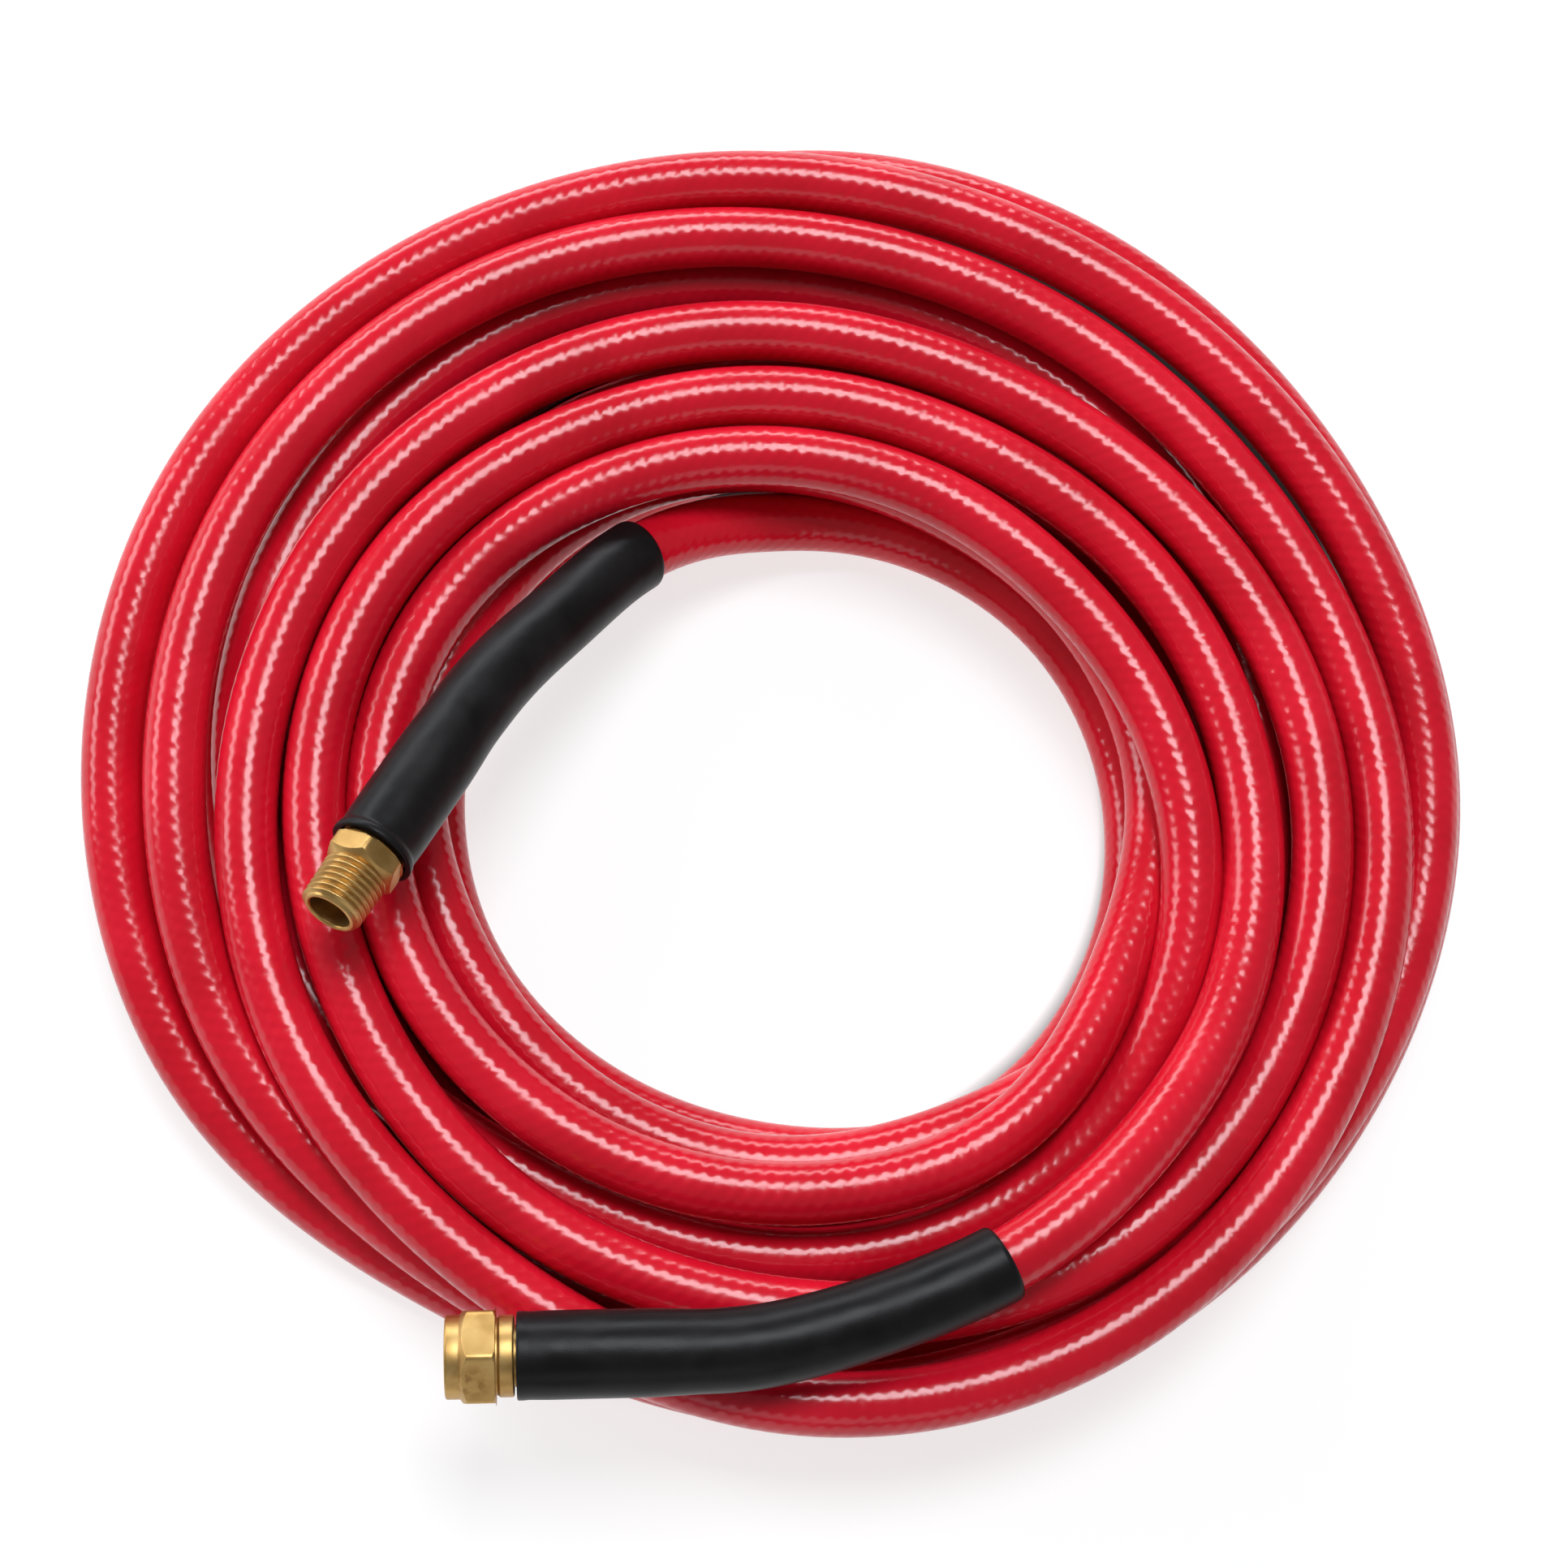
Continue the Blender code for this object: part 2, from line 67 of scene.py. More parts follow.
# ---------------------------------------------------------------- sizes, the same as in the CAD
HOSE_RADIUS = 0.0065
HOSE_START = 0.0301  # the free hose starts this far behind a sleeve's outer face
STRAIGHT = 0.0350  # and runs straight to here
END_STRAIGHT = (-0.030, -0.010, 0.0, 0.010)  # points on the straight line through a fitting

FERRULE_OUTER = 0.00735
FERRULE_INNER = 0.00680
FERRULE_LIP = 0.00480
FERRULE_FRONT = 0.0018
FERRULE_BACK = 0.0298
FERRULE_WALL = 0.0008
BARB_CREST = 0.0039
BARB_ROOT = 0.0035
BARB_END = 0.0270
BARBS = 4
STEM_BORE = 0.0028
NECK = 0.0045
COLLAR = 0.0064
COLLAR_BACK = 0.0015
SLEEVE_LENGTH = 0.0980

PITCH = 0.0254 / 18
THREAD_DEPTH = 0.0007
MALE_HEX_BACK = -0.0006
MALE_HEX_FRONT = -0.0053
MALE_FLATS = 0.0143
MALE_TIP = -0.0160
MALE_THREAD_AT_HEX = 0.00675
MALE_TAPER = 1 / 32
MALE_BORE = 0.0045
MALE_TURN = math.radians(30.5)

NUT_BACK = -0.0005
NUT_FRONT = -0.0137
NUT_HEX_BACK = -0.0040
NUT_HEX_FRONT = -0.0109
NUT_FLATS = 0.0175
NUT_BACK_COLLAR = 0.0078
NUT_FRONT_COLLAR = 0.0080
NUT_WAIST = 0.0074
NUT_BORE = 0.0062
NUT_CREST = 0.00595
NUT_THREAD_BACK = -0.0070
NUT_TURN = math.radians(24.5)
RING_AT = -0.00305
RING_GROOVE = 0.0017
RING_RADIUS = 0.00605
RING_CLEAR = 0.00085
SWIVEL_BODY = 0.0059
NOSE_START = -0.0060
NOSE_END = -0.0090
NOSE_WIDE = 0.0052

# From the bore outwards: the gripped wall's node and slot names, and its inner and outer radii.
WALL_LAYERS = (
    ("hose_liner", "grey_liner", 0.0042, 0.0049),
    ("hose_braid", "cream_braid", 0.0052, 0.0055),
    ("hose_cover", "red_vinyl", 0.0058, HOSE_RADIUS),
)

nut_joint = frame["joints"][0]
MALE_SEAT = Vector((-0.0829, -0.0285, 0.0575))
MALE_OUT = Vector((-0.465, -0.838, 0.28)).normalized()
FEMALE_SEAT = Vector(nut_joint["pos_m"])
FEMALE_OUT = Vector(nut_joint["axis"]).normalized()

# ---------------------------------------------------------------- the hose's route
# The free stretches, repeated from the CAD: from behind each sleeve to the coil.
MALE_ROUTE = (
    (-0.0600, 0.0117, 0.0434),
    (-0.0539, 0.0198, 0.0395),
    (-0.0481, 0.0267, 0.0356),
    (-0.0425, 0.0335, 0.0317),
    (-0.0372, 0.0397, 0.0284),
    (-0.0314, 0.0454, 0.0250),
    (-0.0254, 0.0499, 0.0217),
    (-0.0195, 0.0532, 0.0188),
    (-0.0136, 0.0556, 0.0162),
    (-0.0075, 0.0573, 0.0139),
    (-0.0004, 0.0586, 0.0118),
    (0.0077, 0.0594, 0.0102),
    (0.0168, 0.0592, 0.0089),
)
FEMALE_ROUTE = (
    (-0.0102, -0.1245, 0.0504),
    (0.0030, -0.1221, 0.0500),
    (0.0125, -0.1194, 0.0497),
    (0.0220, -0.1162, 0.0492),
    (0.0320, -0.1122, 0.0488),
    (0.0420, -0.1075, 0.0482),
    (0.0505, -0.1022, 0.0476),
    (0.0585, -0.0960, 0.0468),
)
COIL_TO_FEMALE = (0.0768, -0.0768, 0.0420)

# The wound turns, in millimetres. A row is one turn, clockwise from above, and a column is one
# hour of the clock, from 1 to 12: how far the hose's middle is from the coil's, and how high.
TURN_RADII = (
    (64.5, 71, 77, 82.5, 85.5, 80.3, 77.2, 75.7, 73.5, 72.5, 73.5, 75.5),
    (78, 85, 92, 92.5, 86, 84.6, 81.7, 78, 77, 73.5, 71.5, 69.5),
    (69.5, 74, 79.9, 82.5, 91, 92, 91, 88.5, 83.5, 77, 69.5, 66),
    (66.5, 71, 82, 94.5, 102.5, 103.5, 101.5, 108.5, 113.5, 115.5, 115.5, 111),
    (108, 106, 104, 105.5, 98, 92.6, 89.5, 88.5, 87.5, 89.5, 90, 88),
    (92, 100.5, 108.5, 114.5, 110.5, 105, 101.8, 101, 101, 104, 107, 113),
    (120.5, 124.5, 126.5, 127.5, 123, 117.5, 114, 114.5, 118, 124, 131, 138),
    (139, 139.2, 142.3, 139, 135.5, 130.3, 127, 137, 140.3, 139.5, 134.6, 130.5),
    (129.5, 132.5, 138, 136.5, 133.5, 131, 124.7, 127, 126, 125, 121.5, 116.5),
    (114.5, 117, 125.5, 131.5, 136, 133, 122.5, 116.5, 110, 104, 98.2, 94.8),
    (95, 102, 112, 118.5, 121.5, 115, 109, 102, 96.3, 90.3, 82.8, 79.8),
    (80.5, 87.5, 96.5, 105.5),
)
TURN_HEIGHTS = (
    (7.2, 6.5, 6.5, 6.5, 6.5, 6.5, 6.5, 6.5, 6.5, 6.5, 6.5, 6.5),
    (6.5, 6.5, 7.5, 13, 19.2, 19.5, 19.5, 19.5, 18.5, 18.5, 19.5, 19.5),
    (19.5, 19.5, 19.5, 25.5, 32.5, 32.5, 32.5, 32, 30.5, 30.5, 32.5, 32.5),
    (32.5, 32.5, 32.5, 29, 21.5, 20, 20, 19.5, 19.5, 19.5, 19.5, 19.5),
    (19.5, 19.2, 19, 17.5, 6.5, 6.5, 6.5, 6.5, 6.5, 9, 15, 18.5),
    (14, 7, 6.5, 6.5, 6.5, 6.5, 6.5, 6.5, 6.5, 6.5, 6.5, 6.5),
    (6.5, 6.5, 6.5, 6.5, 6.5, 6.5, 6.5, 6.5, 6.5, 6.5, 10, 17),
    (19.5, 17, 10, 6.5, 6.5, 6.5, 6.5, 13, 21, 26, 29, 32),
    (31.5, 29.5, 24, 20.5, 19.5, 19.5, 19.5, 24.8, 31, 32.5, 32.5, 32.5),
    (32, 31, 30, 32.5, 32.5, 33.5, 33, 32.5, 32.5, 32.5, 32.5, 32.5),
    (32, 32.2, 32.3, 32.5, 32.5, 32.5, 32.5, 32.5, 33, 33, 32.5, 32.5),
    (32, 31.5, 32, 36.5),
)

# ---------------------------------------------------------------- shapes finer than the CAD's
CREST_SHARE = 0.16  # the flat crest's share of the pitch
THREAD_ROUNDING = 0.4  # how far the ridges are worn round, from 0 to 1
HEX_CHAMFER_SLOPE = 0.78  # length of a hexagon's chamfer for each unit of radius
HEX_BLUNT = 0.00012  # how much a hexagon's corners fall short of sharp ones
MALE_HEX_BACK_RIM = MALE_FLATS / 2 + 0.0005
NUT_HEX_BACK_RIM = NUT_FLATS / 2 + 0.0007
SLEEVE_CLEAR = 0.0003
MALE_SLEEVE_LIP = 0.0004  # how far the male sleeve's lip stands proud of it
CRIMP_MIDDLES = (0.0105, 0.0210)
CRIMP_HALF_WIDTH = 0.0024
CRIMP_SLOPE = 0.0008
CRIMP_DEPTH = 0.00015
SQUEEZE_REPEAT = 0.0060  # the barbs press the wall in waves this long
LINER_SQUEEZE = 0.00006
COVER_SQUEEZE = 0.00008
WEAVE_REPEAT = 0.0032
WEAVE_STARTS = 8
WEAVE_RELIEF = 0.00012

# ---------------------------------------------------------------- how fine the meshes are
HOSE_STEP = 0.003
HOSE_SIDES = 28
SLEEVE_SIDES = 64
TURNED_SIDES = 120  # a multiple of 12, so that a hexagon's corners fall on it
THREAD_STEP = PITCH / 14

# ---------------------------------------------------------------- the camera
CAMERA_TARGET = Vector((-0.0027, -0.0096, 0.0390))
CAMERA_DISTANCE = 0.650
CAMERA_TILT = math.radians(15)
CAMERA_SIDE = math.radians(-3)
CAMERA_LENS = 72.5
CAMERA_SHIFT = (0.0078, 0.0036)


def make_camera():
    data = bpy.data.cameras.new("camera")
    data.lens = CAMERA_LENS
    data.sensor_width = 36
    data.shift_x, data.shift_y = CAMERA_SHIFT
    data.clip_start, data.clip_end = 0.01, 20
    camera = bpy.data.objects.new("camera", data)
    bpy.context.scene.collection.objects.link(camera)
    back = Vector((
        math.sin(CAMERA_SIDE) * math.cos(CAMERA_TILT),
        -math.sin(CAMERA_TILT),
        math.cos(CAMERA_SIDE) * math.cos(CAMERA_TILT),
    ))
    right = Vector((0.0, 1.0, 0.0)).cross(back).normalized()
    turn = Matrix((right, back.cross(right), back)).transposed().to_4x4()
    camera.matrix_world = Matrix.Translation(CAMERA_TARGET + back * CAMERA_DISTANCE) @ turn
    bpy.context.scene.camera = camera


# ---------------------------------------------------------------- lines and the skins round them
def spline_through(points, start_direction, end_direction, step):
    """Evenly spaced points on the cubic spline that leaves and arrives in the given directions."""
    p = np.array([tuple(point) for point in points])
    h = np.linalg.norm(np.diff(p, axis=0), axis=1)
    chords = np.diff(p, axis=0) / h[:, None]
    count = len(p)
    system = np.zeros((count, count))
    right = np.zeros((count, 3))
    system[0, :2] = (2 * h[0], h[0])
    right[0] = 6 * (chords[0] - np.array(start_direction))
    system[-1, -2:] = (h[-1], 2 * h[-1])
    right[-1] = 6 * (np.array(end_direction) - chords[-1])
    for i in range(1, count - 1):
        system[i, i - 1 : i + 2] = (h[i - 1], 2 * (h[i - 1] + h[i]), h[i])
        right[i] = 6 * (chords[i] - chords[i - 1])
    bend = np.linalg.solve(system, right)
    fine = []
    for i in range(count - 1):
        t = np.linspace(0.0, h[i], 30, endpoint=i == count - 2)[:, None]
        a = h[i] - t
        fine.append(
            (bend[i] * a**3 + bend[i + 1] * t**3) / (6 * h[i])
            + (p[i] / h[i] - bend[i] * h[i] / 6) * a
            + (p[i + 1] / h[i] - bend[i + 1] * h[i] / 6) * t
        )
    fine = np.concatenate(fine)
    along = lengths_along(fine)
    wanted = np.linspace(0.0, along[-1], int(along[-1] / step) + 1)
    return np.stack([np.interp(wanted, along, fine[:, k]) for k in range(3)], axis=1)


def lengths_along(points):
    return np.concatenate([[0.0], np.cumsum(np.linalg.norm(np.diff(points, axis=0), axis=1))])


class Line:
    """A centre line that knows its place and its two cross directions at each distance along."""

    def __init__(self, points, start=0.0):
        self.points = np.array(points)
        self.along = lengths_along(self.points) + start
        slopes = np.gradient(self.points, self.along, axis=0)
        self.directions = slopes / np.linalg.norm(slopes, axis=1)[:, None]

    def frames(self, along):
        """Centre, across and up at each distance, for an array of distances of any shape."""
        centre, ahead = (
            np.stack([np.interp(along, self.along, values[:, k]) for k in range(3)], axis=-1)
            for values in (self.points, self.directions)
        )
        across = np.cross(ahead, (0.0, 0.0, 1.0))
        across /= np.linalg.norm(across, axis=-1)[..., None]
        up = np.cross(across, ahead)
        return centre, across, up / np.linalg.norm(up, axis=-1)[..., None]


def add_piece(name, mesh, body, slot, look):
    obj = bpy.data.objects.new(name, mesh)
    bpy.context.scene.collection.objects.link(obj)
    mesh.materials.append(look)
    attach(obj, body)
    return obj


def skin(name, line, along, radius, sides, closed=True, sharp=35, turn=0.0):
    """Rings of points round a line, joined into one surface.

    A row of along and radius is one ring, and a column is one step round it, from straight up,
    or from a given turn before that.
    A closed skin's last ring joins its first. An open one gets a flat cap at each end.
    """
    along, radius = np.broadcast_arrays(along, radius)
    rows = len(along)
    along = np.broadcast_to(along, (rows, sides))
    radius = np.broadcast_to(radius, (rows, sides))
    centre, across, up = line.frames(along)
    angle = 2 * math.pi * np.arange(sides) / sides - turn
    spoke = up * np.cos(angle)[None, :, None] + across * np.sin(angle)[None, :, None]
    points = (centre + spoke * radius[..., None]).reshape(-1, 3)

    i, j = np.meshgrid(np.arange(rows if closed else rows - 1), np.arange(sides), indexing="ij")
    below, beside = (i + 1) % rows, (j + 1) % sides
    corners = [(i, j, j), (i, beside, j + 1), (below, beside, j + 1), (below, j, j)]
    quads = np.stack([row * sides + column for row, column, _ in corners], axis=-1).reshape(-1, 4)
    wrap = np.stack(
        [np.stack([along[row, column], step / sides], axis=-1) for row, column, step in corners],
        axis=2,
    ).reshape(-1, 2)
    faces = quads.tolist()
    if not closed:
        faces += [list(range(sides))[::-1], list(range(rows * sides - sides, rows * sides))]
        for row, order in ((0, -1), (-1, 1)):
            cap = np.stack([along[row], np.arange(sides) / sides], axis=-1)
            wrap = np.concatenate([wrap, cap[::order]])

    mesh = bpy.data.meshes.new(name)
    mesh.from_pydata(points.tolist(), [], faces)
    layer = mesh.uv_layers.new(name="wrap")
    layer.data.foreach_set("uv", wrap.astype(np.float32).ravel())
    a, b, c = points[quads[:, 0]], points[quads[:, 1]], points[quads[:, 2]]
    d = points[quads[:, 3]]
    volume = (np.cross(a, b) * c).sum() + (np.cross(a, c) * d).sum()
    if volume < 0:
        mesh.flip_normals()
    mesh.shade_smooth()
    mesh.set_sharp_from_angle(angle=math.radians(sharp))
    return mesh


def outline(*corners, sides=TURNED_SIDES):
    """A turned outline as arrays of distances and radii, one row for each of its points.

    A corner is (distance, radius) for a sharp one, or (distance, radius, size) for a rounded one.
    """
    given = [tuple(np.broadcast_to(value, sides) for value in corner) for corner in corners]
    along, radius = [], []
    for k, corner in enumerate(given):
        here = np.stack(corner[:2])
        if len(corner) == 2 or k in (0, len(given) - 1):
            along.append(here[0])
            radius.append(here[1])
            continue
        before, after = np.stack(given[k - 1][:2]), np.stack(given[k + 1][:2])
        for point in rounded(before, here, after, corner[2]):
            along.append(point[0])
            radius.append(point[1])
    return np.array(along), np.array(radius)


def rounded(before, here, after, size, steps=4):
    """The points of the round corner between two straight lines."""
    ways = []
    for other in (before, after):
        way = other - here
        length = np.maximum(np.linalg.norm(way, axis=0), 1e-9)
        ways.append(way / length * np.minimum(size, length * 0.45))
    for t in np.linspace(0.0, 1.0, steps):
        yield here + ways[0] * (1 - t) ** 2 + ways[1] * t**2


def joined(*parts):
    """Several (distances, radii) pairs as one."""
    return np.concatenate([p[0] for p in parts]), np.concatenate([p[1] for p in parts])


# ---------------------------------------------------------------- materials
class Look:
    """A material, and short calls that add the nodes it is made of."""

    def __init__(self, name, values=None):
        self.material = bpy.data.materials.new(name)
        self.material.use_nodes = True
        self.tree = self.material.node_tree
        self.shader = self.tree.nodes["Principled BSDF"]
        for socket, value in (values or {}).items():
            self.put(self.shader.inputs[socket], value)

    def put(self, socket, value):
        if isinstance(value, bpy.types.NodeSocket):
            self.tree.links.new(value, socket)
        elif socket.type == "RGBA":
            socket.default_value = (*value, 1.0)
        else:
            socket.default_value = value

    def node(self, kind, inputs, **settings):
        made = self.tree.nodes.new("ShaderNode" + kind)
        for setting, value in settings.items():
            setattr(made, setting, value)
        for key, value in inputs.items():
            self.put(made.inputs[key], value)
        return made

    def math(self, operation, a, b=0.0):
        return self.node("Math", {0: a, 1: b}, operation=operation).outputs[0]

    def wrap(self):
        """Distance along the piece in metres, and turns round it."""
        uv = self.node("UVMap", {}, uv_map="wrap").outputs[0]
        split = self.node("SeparateXYZ", {0: uv})
        return split.outputs["X"], split.outputs["Y"]

    def place(self):
        return self.node("TexCoord", {}).outputs["Object"]

    def vector(self, x, y, z=0.0):
        return self.node("CombineXYZ", {"X": x, "Y": y, "Z": z}).outputs[0]

    def noise(self, where, scale, detail=2.0, distortion=0.0):
        inputs = {"Vector": where, "Scale": scale, "Detail": detail, "Distortion": distortion}
        return self.node("TexNoise", inputs).outputs[0]

    def ramp(self, value, *stops):
        made = self.node("ValToRGB", {"Fac": value})
        elements = made.color_ramp.elements
        while len(elements) < len(stops):
            elements.new(0.5)
        for element, (at, colour) in zip(elements, stops):
            element.position = at
            element.color = (*colour, 1.0) if isinstance(colour, tuple) else (colour,) * 3 + (1.0,)
        return made.outputs["Color"]

    def between(self, value, low, high):
        """Takes a value from 0 to 1 to the range from low to high."""
        inputs = {"Value": value, "To Min": low, "To Max": high}
        return self.node("MapRange", inputs).outputs[0]

    def outside(self, where, middle, begins, ends):
        """From 0 within a circle to 1 beyond it, with a soft edge."""
        far = self.node("VectorMath", {0: where, 1: middle}, operation="DISTANCE")
        inputs = {"Value": far.outputs["Value"], "From Min": begins, "From Max": ends}
        return self.node("MapRange", inputs).outputs[0]

    def mix(self, share, a, b):
        made = self.node("Mix", {"Factor": share}, data_type="RGBA")
        self.put(made.inputs[6], a)
        self.put(made.inputs[7], b)
        return made.outputs[2]

    def bump(self, height, depth, normal=None):
        inputs = {"Height": height, "Distance": depth, "Strength": 1.0}
        if normal is not None:
            inputs["Normal"] = normal
        return self.node("Bump", inputs).outputs[0]


BRAID_REPEAT = 0.0031  # along the hose
BRAID_STARTS = 9  # strands round it, each way
BRAID_RELIEF = 0.000034
STAIN_AT = (-0.0606, -0.1316, 0.0572)  # on one of the nut's flats
STAIN_REACH = 0.0045
FLOOR_PALE = 0.28
# How strongly the floor glows: painted light, which lifts the shadows on it.
FLOOR_PAINTED_GLOW = 0.73
# Painted shade: under the coil the floor keeps only this share of its paleness.
FLOOR_PAINTED_SHADE = 0.08  # the share of its paleness that the floor keeps under the coil
# The floor glows, as painted light, inside the first circle and outside the second. Between them,
# under the coil, it has no glow and is painted dark, as painted shade. Each is a middle, the radius
# where its edge begins and the radius where it ends.
FLOOR_HOLE = ((0.0, -0.006, 0.0), 0.071, 0.076)
FLOOR_RIM = ((0.003, 0.010, 0.0), 0.130, 0.138)


def braid_height(look, repeat=BRAID_REPEAT, starts=BRAID_STARTS, lean=0.62):
    """Two families of strands that wind opposite ways, one of them a little prouder."""
    along, turns = look.wrap()
    phase_along = look.math("MULTIPLY", along, 2 * math.pi / repeat)
    phase_round = look.math("MULTIPLY", turns, 2 * math.pi * starts)
    right = look.math("COSINE", look.math("ADD", phase_along, phase_round))
    left = look.math("COSINE", look.math("SUBTRACT", phase_along, phase_round))
    return look.math(
        "ADD", look.math("MULTIPLY", right, lean), look.math("MULTIPLY", left, 1 - lean)
    )


def red_vinyl():
    look = Look("red_vinyl", {"Specular IOR Level": 0.38})
    where = look.place()
    shade = look.noise(where, 45.0, 3.0)
    colour = look.ramp(
        shade,
        (0.30, (0.525, 0.0045, 0.0160)),
        (0.55, (0.625, 0.0065, 0.0225)),
        (0.75, (0.690, 0.0100, 0.0290)),
    )
    height = braid_height(look)
    # Painted shade: the base colour turns a little darker red in the braid's hollows.
    valley_painted_shade = look.between(height, 0.06, 0.0)
    look.put(look.shader.inputs["Base Color"], look.mix(valley_painted_shade, colour, (0.47, 0.002, 0.010)))
    smudge = look.noise(where, 130.0, 4.0, 0.6)
    look.put(look.shader.inputs["Roughness"], look.between(smudge, 0.12, 0.28))
    uneven = look.math("MULTIPLY", height, look.between(look.noise(where, 210.0, 2.0), -0.4, 2.2))
    ripple = look.math("ADD", uneven, look.math("MULTIPLY", look.noise(where, 330.0, 2.0), 2.0))
    peel = look.bump(look.noise(where, 900.0, 2.0), 0.00001)
    look.put(look.shader.inputs["Normal"], look.bump(ripple, BRAID_RELIEF, peel))
    return look.material


def black_rubber():
    look = Look("black_rubber", {"Specular IOR Level": 0.15})
    where = look.place()
    cloud = look.noise(where, 90.0, 4.0, 0.5)
    colour = look.ramp(cloud, (0.35, (0.0052, 0.0047, 0.0050)), (0.70, (0.0100, 0.0090, 0.0096)))
    look.put(look.shader.inputs["Base Color"], colour)
    look.put(look.shader.inputs["Roughness"], look.between(cloud, 0.28, 0.46))
    grain = look.bump(look.noise(where, 3800.0, 2.0), 0.00002)
    dents = look.bump(look.noise(where, 160.0, 1.0), 0.00018, grain)
    look.put(look.shader.inputs["Normal"], dents)
    return look.material


def brass():
    look = Look("brass", {"Metallic": 1.0})
    where = look.place()
    along, _ = look.wrap()
    tone = look.noise(where, 160.0, 4.0, 0.4)
    clean = look.ramp(
        tone,
        (0.30, (0.385, 0.218, 0.068)),
        (0.55, (0.510, 0.316, 0.112)),
        (0.80, (0.625, 0.426, 0.178)),
    )
    blotch = look.noise(where, 420.0, 2.0, 0.3)
    near = look.math("SUBTRACT", 1.0, look.outside(where, STAIN_AT, 0.0, STAIN_REACH))
    stain = look.math("MULTIPLY", look.ramp(blotch, (0.44, 0.0), (0.56, 0.80)), near)
    look.put(look.shader.inputs["Base Color"], look.mix(stain, clean, (0.20, 0.085, 0.022)))
    marks = look.noise(look.vector(look.math("MULTIPLY", along, 9000.0), 0.0), 1.0, 2.0)
    rough = look.math("ADD", look.between(tone, 0.35, 0.50), look.between(marks, -0.05, 0.05))
    look.put(look.shader.inputs["Roughness"], rough)
    rings = look.bump(marks, 0.000012)
    look.put(look.shader.inputs["Normal"], look.bump(look.noise(where, 700.0, 2.0), 0.00001, rings))
    return look.material


def cream_braid():
    look = Look("cream_braid")
    height = braid_height(look, 0.0016, 16, 0.5)
    strand = look.between(height, 0.0, 1.0)
    # Painted shade: the cream turns a darker tan down in the weave's hollows.
    look.put(
        look.shader.inputs["Base Color"],
        look.ramp(strand, (0.15, (0.42, 0.39, 0.31)), (0.60, (0.76, 0.73, 0.63))),
    )
    look.put(look.shader.inputs["Roughness"], look.between(strand, 0.85, 0.60))
    look.put(look.shader.inputs["Normal"], look.bump(height, 0.00008))
    return look.material


def grey_liner():
    look = Look("grey_liner")
    haze = look.noise(look.place(), 220.0, 3.0)
    look.put(
        look.shader.inputs["Base Color"],
        look.ramp(haze, (0.3, (0.17, 0.17, 0.18)), (0.7, (0.24, 0.24, 0.25))),
    )
    look.put(look.shader.inputs["Roughness"], look.between(haze, 0.32, 0.50))
    look.put(look.shader.inputs["Normal"], look.bump(look.noise(look.place(), 1500.0), 0.00001))
    return look.material


def pale_floor_painted_light():
    """A white table with painted light: it glows a little, so that it stays pale in the shadows.

    What shows of it between the turns, down in the coil, is painted dark and does not glow: painted
    shade.
    """
    look = Look("pale_floor_painted_light", {"Roughness": 0.6, "Emission Color": (1.0, 1.0, 1.0)})
    where = look.place()
    cloud = look.noise(where, 6.0, 2.0)
    pale = look.between(cloud, FLOOR_PALE - 0.02, FLOOR_PALE + 0.02)
    past_hole, past_rim = look.outside(where, *FLOOR_HOLE), look.outside(where, *FLOOR_RIM)
    under = look.math("SUBTRACT", past_hole, past_rim)
    # Painted shade: the floor's paleness falls away under the coil, so the gaps between the turns
    # look dark.
    paleness_with_shade = look.math("MULTIPLY", pale, look.between(under, 1.0, FLOOR_PAINTED_SHADE))
    look.put(look.shader.inputs["Base Color"], look.mix(paleness_with_shade, (0.0,) * 3, (1.0,) * 3))
    # Painted light: the floor glows outside the coil and inside its hole, and not under the turns.
    look.put(look.shader.inputs["Emission Strength"], look.between(under, FLOOR_PAINTED_GLOW, 0.0))
    return look.material


# ---------------------------------------------------------------- the hose
def coil_points():
    """The wound turns' points, one for each hour of each turn."""
    points = []
    for radii, heights in zip(TURN_RADII, TURN_HEIGHTS):
        for hour, (radius, height) in enumerate(zip(radii, heights), start=1):
            angle = math.radians(90 - 30 * hour)
            points.append((
                radius / 1000 * math.cos(angle),
                radius / 1000 * math.sin(angle),
                height / 1000,
            ))
    return points


def hose_line():
    male = [MALE_SEAT - MALE_OUT * HOSE_START, MALE_SEAT - MALE_OUT * STRAIGHT]
    female = [FEMALE_SEAT - FEMALE_OUT * STRAIGHT, FEMALE_SEAT - FEMALE_OUT * HOSE_START]
    points = [*male, *MALE_ROUTE, *coil_points(), COIL_TO_FEMALE, *FEMALE_ROUTE[::-1], *female]
    centre = spline_through(points, -MALE_OUT, FEMALE_OUT, HOSE_STEP)
    centre[:, 2] = np.maximum(centre[:, 2], HOSE_RADIUS)
    return centre


def end_line(seat, out, centre):
    """The line of one end, from in front of its fitting to past its sleeve."""
    straight = [tuple(seat - out * along) for along in END_STRAIGHT]
    sleeve_points = int(SLEEVE_LENGTH / HOSE_STEP) + 4
    return Line([*straight, *centre[:sleeve_points]], start=END_STRAIGHT[0])


def make_hose(centre, look):
    line = Line(centre)
    mesh = skin("air_hose", line, line.along[:, None], HOSE_RADIUS, HOSE_SIDES, closed=False)
    hose = add_piece("air_hose", mesh, "hose", "red_vinyl", look)
    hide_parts("hose_coil", "hose_tail_male", "hose_tail_female")
    return hose


